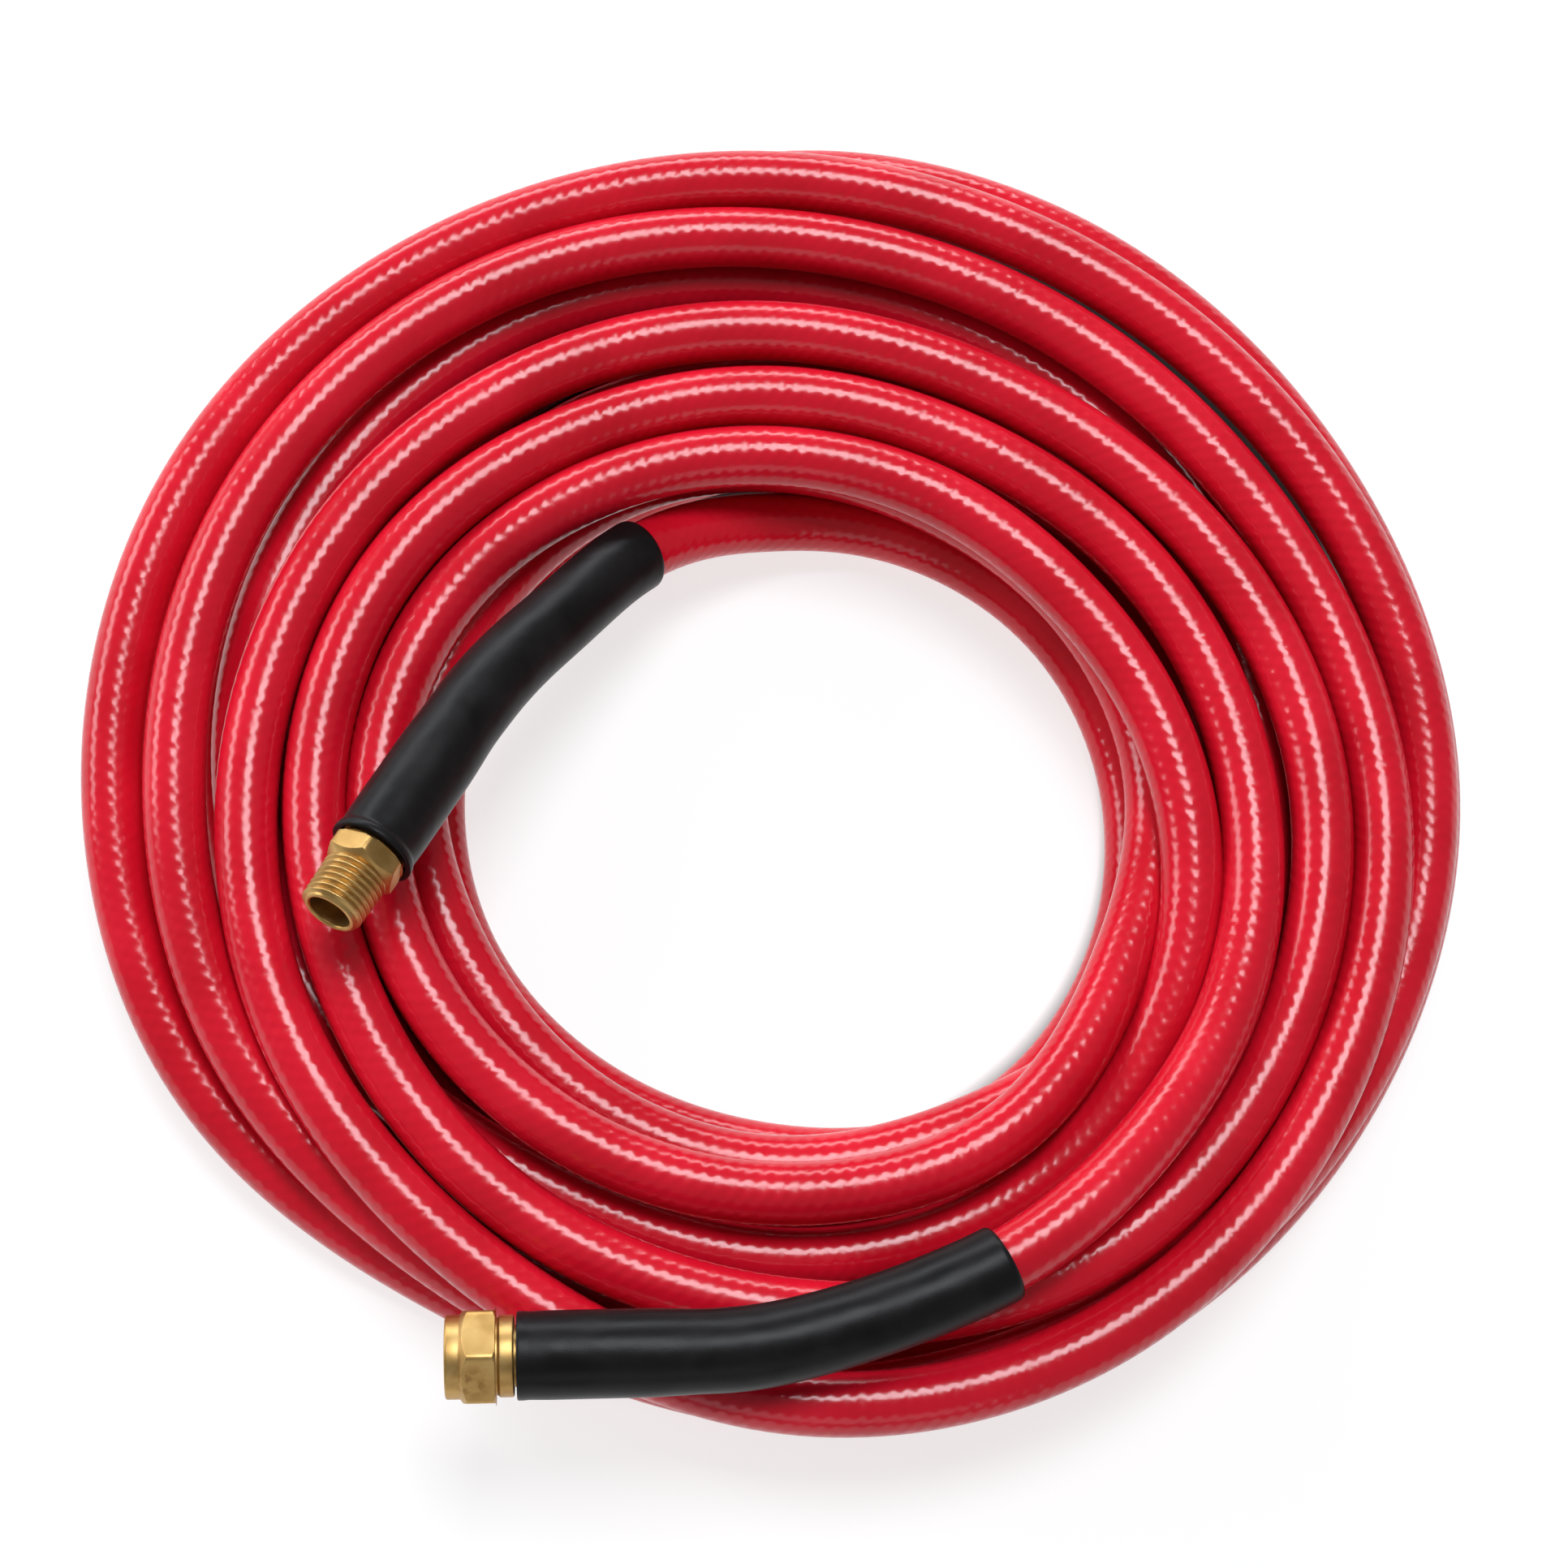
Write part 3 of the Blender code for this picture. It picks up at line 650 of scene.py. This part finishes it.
# ---------------------------------------------------------------- the pieces of both ends
def make_sleeve(end, line, lip, look):
    """A moulded rubber sleeve: a rounded lip, a waist past the ferrule and a square-cut end."""
    inner_wide, inner_thin = FERRULE_OUTER + SLEEVE_CLEAR, HOSE_RADIUS + SLEEVE_CLEAR
    step = FERRULE_BACK + 0.0006
    shape = outline(
        (0.0000, inner_wide + 0.0001),
        (0.0000, 0.0085 + lip, 0.0004),
        (0.0014, 0.0085 + lip, 0.0006),
        (0.0022, 0.0084, 0.0005),
        (0.0060, 0.0085, 0.0020),
        (0.0270, 0.0085, 0.0040),
        (0.0345, 0.0081, 0.0040),
        (0.0420, 0.0082, 0.0040),
        (0.0600, 0.0080, 0.0060),
        (0.0800, 0.0079, 0.0060),
        (SLEEVE_LENGTH - 0.0008, 0.0079, 0.0004),
        (SLEEVE_LENGTH, 0.0075, 0.0003),
        (SLEEVE_LENGTH, inner_thin, 0.0002),
        (SLEEVE_LENGTH - 0.0030, inner_thin),
        (step + 0.0010, inner_thin, 0.0003),
        (step, inner_wide, 0.0003),
        (0.0010, inner_wide),
        sides=SLEEVE_SIDES,
    )
    along, radius = refined(*shape, longest=0.0025)
    mesh = skin(f"sleeve_{end}", line, along, radius, SLEEVE_SIDES)
    sleeve = add_piece(f"sleeve_{end}", mesh, "hose", "black_rubber", look)
    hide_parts(f"bend_sleeve_{end}")
    return sleeve


def refined(along, radius, longest):
    """The same outline with rings added, so that it can follow a bend."""
    more_along, more_radius = [], []
    for k in range(len(along)):
        after = (k + 1) % len(along)
        length = np.abs(along[after] - along[k]).max()
        count = max(1, math.ceil(length / longest))
        for t in np.arange(count) / count:
            more_along.append(along[k] * (1 - t) + along[after] * t)
            more_radius.append(radius[k] * (1 - t) + radius[after] * t)
    return np.array(more_along), np.array(more_radius)


def make_ferrule(end, line, look):
    """The crimped shell, with two bands where the crimping jaws closed."""
    corners = [
        (FERRULE_FRONT, FERRULE_LIP),
        (FERRULE_FRONT, FERRULE_OUTER, 0.0004),
    ]
    for middle in CRIMP_MIDDLES:
        corners += [
            (middle - CRIMP_HALF_WIDTH - CRIMP_SLOPE, FERRULE_OUTER, 0.0004),
            (middle - CRIMP_HALF_WIDTH, FERRULE_OUTER - CRIMP_DEPTH, 0.0004),
            (middle + CRIMP_HALF_WIDTH, FERRULE_OUTER - CRIMP_DEPTH, 0.0004),
            (middle + CRIMP_HALF_WIDTH + CRIMP_SLOPE, FERRULE_OUTER, 0.0004),
        ]
    corners += [
        (FERRULE_BACK, FERRULE_OUTER, 0.0002),
        (FERRULE_BACK, FERRULE_INNER, 0.0002),
        (FERRULE_FRONT + FERRULE_WALL, FERRULE_INNER, 0.0003),
        (FERRULE_FRONT + FERRULE_WALL, FERRULE_LIP),
    ]
    mesh = skin(f"crimped_ferrule_{end}", line, *outline(*corners), TURNED_SIDES)
    ferrule = add_piece(f"crimped_ferrule_{end}", mesh, "hose", "brass", look)
    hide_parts(f"ferrule_{end}")
    return ferrule


def make_gripped_wall(end, line, looks):
    """The three layers of the hose wall that the barbs and the ferrule grip."""
    front = FERRULE_FRONT + FERRULE_WALL + 0.0003
    angle = 2 * math.pi * np.arange(TURNED_SIDES)[None, :] / TURNED_SIDES
    along = np.linspace(front, FERRULE_BACK, 76)[:, None] + np.zeros_like(angle)
    squeeze = np.sin(2 * math.pi * (along - front) / SQUEEZE_REPEAT)
    strand = 2 * math.pi * along / WEAVE_REPEAT
    weave = np.cos(strand + WEAVE_STARTS * angle) * np.cos(strand - WEAVE_STARTS * angle)
    reliefs = (LINER_SQUEEZE * squeeze, WEAVE_RELIEF * weave, COVER_SQUEEZE * squeeze)
    pieces = []
    for (node, slot, inner, outer), relief, look in zip(WALL_LAYERS, reliefs, looks):
        shape = joined((along, outer + relief), (along[::-1], np.full_like(along, inner)))
        mesh = skin(f"gripped_{node}_{end}", line, *shape, TURNED_SIDES)
        piece = add_piece(f"gripped_{node}_{end}", mesh, "hose", slot, look)
        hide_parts(f"{node}_{end}")
        pieces.append(piece)
    return pieces


def barb_corners():
    """The barb's outer line, from its free end to the neck behind the ferrule's lip."""
    neck = FERRULE_FRONT + FERRULE_WALL
    run = (BARB_END - neck - 0.0012) / BARBS
    corners = [(BARB_END, STEM_BORE), (BARB_END, BARB_ROOT - 0.0002, 0.0002)]
    for i in range(BARBS):
        start = BARB_END - i * run
        corners.append((start - run * 0.80, BARB_CREST, 0.0002))
        corners.append((start - run * 0.92, BARB_ROOT, 0.0002))
    corners += [(neck, BARB_ROOT, 0.0003), (neck - 0.0004, NECK, 0.0001), (COLLAR_BACK, NECK)]
    return corners


def hexagon(flats):
    """A hexagon's radius at each step round, with its corners a little blunt."""
    angle = 2 * math.pi * np.arange(TURNED_SIDES) / TURNED_SIDES
    off_flat = (angle + math.pi / 6) % (math.pi / 3) - math.pi / 6
    return np.minimum(flats / 2 / np.cos(off_flat), flats / math.sqrt(3) - HEX_BLUNT)


def hexagon_outline(back, front, flats, rims):
    """A hexagon chamfered on a lathe at both ends, from the back to the front (back > front)."""
    reach = hexagon(flats)
    cuts = [np.maximum(reach - rim, 0.00004) * HEX_CHAMFER_SLOPE for rim in rims]
    return (
        (back, rims[0], 0.0001),
        (back - cuts[0], reach, 0.00012),
        (front + cuts[1], reach, 0.00012),
        (front, rims[1], 0.0001),
    )


def thread(back, front, crest_at_back, taper, side):
    """Rows of a right-hand thread from back to front, whose crests start at a given radius.

    Side is 1 for a thread cut into the outside of a shank, and -1 for one cut into a bore.
    """
    rows = int(abs(back - front) / THREAD_STEP) + 1
    turns = np.arange(TURNED_SIDES)[None, :] / TURNED_SIDES
    along = np.linspace(back, front, rows)[:, None] + np.zeros_like(turns)
    phase = (turns - along / PITCH) % 1.0
    from_crest = np.abs(phase - 0.5) * 2
    ridge = np.clip((1 - from_crest) / (1 - CREST_SHARE), 0.0, 1.0)
    ridge = ridge * ridge * (3 - 2 * ridge) * THREAD_ROUNDING + ridge * (1 - THREAD_ROUNDING)
    crest = crest_at_back - (back - along) * taper
    return along, crest - side * THREAD_DEPTH * (1 - ridge)


# ---------------------------------------------------------------- the male end
def make_male_stem(line, look):
    """Barbs, a hexagon and a quarter inch tapered pipe thread, with the air passage through it."""
    rims = (MALE_HEX_BACK_RIM, MALE_THREAD_AT_HEX - THREAD_DEPTH / 2)
    thread_back, thread_front = MALE_HEX_FRONT - 0.0002, MALE_TIP + 0.0008
    tip_root = MALE_THREAD_AT_HEX - (MALE_HEX_FRONT - MALE_TIP) * MALE_TAPER - THREAD_DEPTH
    back = outline(
        *barb_corners(),
        (COLLAR_BACK, COLLAR, 0.0002),
        (MALE_HEX_BACK + 0.0003, COLLAR, 0.0001),
        *hexagon_outline(MALE_HEX_BACK, MALE_HEX_FRONT, MALE_FLATS, rims),
    )
    ridges = thread(thread_back, thread_front, MALE_THREAD_AT_HEX, MALE_TAPER, 1)
    front = outline(
        (MALE_TIP + 0.0006, tip_root),
        (MALE_TIP, tip_root - 0.0003, 0.0002),
        (MALE_TIP, MALE_BORE + 0.0003, 0.0001),
        (MALE_TIP + 0.0004, MALE_BORE, 0.0001),
        (-0.0075, MALE_BORE, 0.0006),
        (-0.0060, STEM_BORE, 0.0006),
        (BARB_END - 0.001, STEM_BORE),
    )
    shape = joined(back, ridges, front)
    mesh = skin("male_pipe_stem", line, *shape, TURNED_SIDES, turn=MALE_TURN)
    stem = add_piece("male_pipe_stem", mesh, "hose", "brass", look)
    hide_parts("male_stem")
    return stem


# ---------------------------------------------------------------- the female end
def make_tailpiece(line, look):
    """Barbs, a groove for the retaining ring and the 60 degree nose that seals."""
    half = RING_GROOVE / 2
    floor = RING_RADIUS - RING_CLEAR
    nose_tip = NOSE_WIDE - (NOSE_START - NOSE_END) * math.tan(math.radians(30))
    shape = outline(
        *barb_corners(),
        (COLLAR_BACK, SWIVEL_BODY, 0.0002),
        (RING_AT + half, SWIVEL_BODY, 0.0001),
        (RING_AT + half, floor, 0.0002),
        (RING_AT - half, floor, 0.0002),
        (RING_AT - half, SWIVEL_BODY, 0.0001),
        (NOSE_START + 0.0004, SWIVEL_BODY, 0.0003),
        (NOSE_START, NOSE_WIDE, 0.0002),
        (NOSE_END, nose_tip, 0.0002),
        (NOSE_END, STEM_BORE, 0.0002),
        (BARB_END - 0.001, STEM_BORE),
    )
    mesh = skin("swivel_tailpiece", line, *shape, TURNED_SIDES)
    tailpiece = add_piece("swivel_tailpiece", mesh, "hose", "brass", look)
    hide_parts("female_tailpiece")
    return tailpiece


def make_nut(line, look):
    """The swivel nut: two turned collars, a chamfered hexagon and a thread inside its mouth."""
    half = RING_GROOVE / 2
    floor = RING_RADIUS + RING_CLEAR
    rims = (NUT_HEX_BACK_RIM, NUT_FRONT_COLLAR)
    outside = outline(
        (NUT_BACK, NUT_BORE),
        (NUT_BACK, NUT_BACK_COLLAR, 0.0004),
        (NUT_HEX_BACK + 0.0007, NUT_BACK_COLLAR, 0.0003),
        (NUT_HEX_BACK + 0.0005, NUT_WAIST, 0.0002),
        (NUT_HEX_BACK, NUT_WAIST, 0.0001),
        *hexagon_outline(NUT_HEX_BACK, NUT_HEX_FRONT, NUT_FLATS, rims),
        (NUT_HEX_FRONT - 0.0004, NUT_FRONT_COLLAR, 0.0002),
        (NUT_FRONT, NUT_FRONT_COLLAR, 0.0005),
        (NUT_FRONT, NUT_CREST + 0.0010, 0.0002),
        (NUT_FRONT + 0.0009, NUT_CREST + 0.0001),
    )
    ridges = thread(NUT_THREAD_BACK, NUT_FRONT + 0.0010, NUT_CREST, 0.0, -1)
    inside = outline(
        (NUT_THREAD_BACK + 0.0002, NUT_BORE),
        (RING_AT - half, NUT_BORE, 0.0001),
        (RING_AT - half, floor, 0.0002),
        (RING_AT + half, floor, 0.0002),
        (RING_AT + half, NUT_BORE, 0.0001),
        (NUT_BACK - 0.0002, NUT_BORE),
    )
    shape = joined(outside, (ridges[0][::-1], ridges[1][::-1]), inside)
    mesh = skin("swivel_pipe_nut", line, *shape, TURNED_SIDES, turn=NUT_TURN)
    nut = add_piece("swivel_pipe_nut", mesh, "nut", "brass", look)
    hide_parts("swivel_nut")
    return nut


# ---------------------------------------------------------------- floor and light
SOFTBOX_DISTANCE = 3.0
# The way to each softbox's middle, its width and height, and its power.
SOFTBOXES = {
    "overhead": ((0.070, 0.306, 1.0), (1.08, 1.08), 61),
    "low_left": ((-0.90, 0.36, 0.38), (1.9, 0.9), 42),
    "low_back": ((-0.17, 0.98, 0.33), (3.0, 0.6), 55),
    "low_front": ((0.0, -1.0, 0.45), (2.4, 1.0), 8),
}
LIGHT_COLOUR = (0.92, 0.96, 1.0)
SKY_LIGHT = 0.22
SKY_SEEN = 0.95


def make_floor():
    reach = 6.0
    mesh = bpy.data.meshes.new("floor")
    corners = [(-reach, -reach, 0), (reach, -reach, 0), (reach, reach, 0), (-reach, reach, 0)]
    mesh.from_pydata(corners, [], [(0, 1, 2, 3)])
    floor = bpy.data.objects.new("floor", mesh)
    bpy.context.scene.collection.objects.link(floor)
    mesh.materials.append(pale_floor_painted_light())
    floor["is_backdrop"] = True


def make_softbox(name, way, size, power):
    data = bpy.data.lights.new(name, "AREA")
    data.shape = "RECTANGLE"
    data.size, data.size_y = size
    data.energy = power
    data.color = LIGHT_COLOUR
    light = bpy.data.objects.new(name, data)
    bpy.context.scene.collection.objects.link(light)
    outward = Vector(way).normalized()
    light.location = outward * SOFTBOX_DISTANCE
    light.rotation_mode = "QUATERNION"
    light.rotation_quaternion = (-outward).to_track_quat("-Z", "Y")


def make_sky():
    """A dim grey sky for the light, which the camera sees as a pale backdrop."""
    world = bpy.data.worlds.new("sky")
    bpy.context.scene.world = world
    world.use_nodes = True
    tree = world.node_tree
    background = tree.nodes["Background"]
    background.inputs["Color"].default_value = (1.0, 1.0, 1.0, 1.0)
    path = tree.nodes.new("ShaderNodeLightPath")
    strength = tree.nodes.new("ShaderNodeMapRange")
    strength.inputs["To Min"].default_value = SKY_LIGHT
    strength.inputs["To Max"].default_value = SKY_SEEN
    tree.links.new(path.outputs["Is Camera Ray"], strength.inputs["Value"])
    tree.links.new(strength.outputs[0], background.inputs["Strength"])


# ---------------------------------------------------------------- all of it
make_camera()
bpy.context.scene.view_settings.view_transform = "Standard"

vinyl, rubber, metal = red_vinyl(), black_rubber(), brass()
wall_looks = (grey_liner(), cream_braid(), vinyl)

centre = hose_line()
hose = make_hose(centre, vinyl)
male_line = end_line(MALE_SEAT, MALE_OUT, centre)
female_line = end_line(FEMALE_SEAT, FEMALE_OUT, centre[::-1])

make_sleeve("male", male_line, MALE_SLEEVE_LIP, rubber)
make_ferrule("male", male_line, metal)
make_gripped_wall("male", male_line, wall_looks)
make_male_stem(male_line, metal)

female_pieces = [
    make_sleeve("female", female_line, 0.0, rubber),
    make_ferrule("female", female_line, metal),
    *make_gripped_wall("female", female_line, wall_looks),
    make_tailpiece(female_line, metal),
    make_nut(female_line, metal),
    frame["nodes"]["retaining_ring"],
]
frame["nodes"]["retaining_ring"].data.materials[0] = metal

make_floor()
for name, (way, size, power) in SOFTBOXES.items():
    make_softbox(name, way, size, power)
make_sky()

visual_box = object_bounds()
boxes = {"cad": cad_box, "visual": visual_box}
{name: [list(corner) for corner in box] for name, box in boxes.items()}
